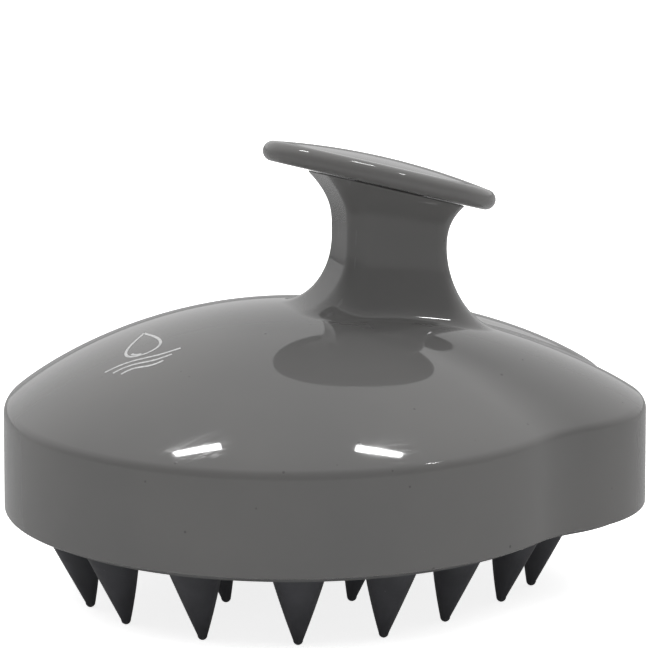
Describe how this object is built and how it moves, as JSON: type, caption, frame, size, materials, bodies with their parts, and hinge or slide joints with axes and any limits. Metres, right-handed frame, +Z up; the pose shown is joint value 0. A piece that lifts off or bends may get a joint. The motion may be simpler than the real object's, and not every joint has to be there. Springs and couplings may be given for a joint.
{
  "type": "scalp massager brush",
  "caption": "Hand-held scalp massager: glossy domed shell with a necked, leaning palm plate, over a pull-out head of hooked silicone bristles.",
  "frame": {"origin": "on the plane of the bristle tips, under the centre of the round lobe of the shell", "axes": "+Z up through the dome, +X along the length towards the narrow two-lobed end, +Y across; the shell is mirrored in Y"},
  "size_m": [0.0917, 0.083, 0.0665],
  "materials": {
    "shell_plastic": "high gloss moulded plastic, mid grey",
    "carrier_plastic": "matte moulded plastic",
    "ring_plastic": "satin moulded plastic",
    "pad_silicone": "satin dark grey silicone",
    "screw_steel": "zinc plated"
  },
  "bodies": {
    "shell": {"body_shell": "shell_plastic", "handle_plate": "shell_plastic", "palm_screw": "screw_steel"},
    "bristle_head": {"carrier_plate": "carrier_plastic", "bristle_pad": "pad_silicone", "clamp_ring": "ring_plastic", "clamp_screws": "screw_steel"}
  },
  "joints": [
    {"name": "head_release", "type": "slide", "parent": "shell", "child": "bristle_head", "axis": [0, 0, -1], "range_m": [0, 0.02]}
  ]
}
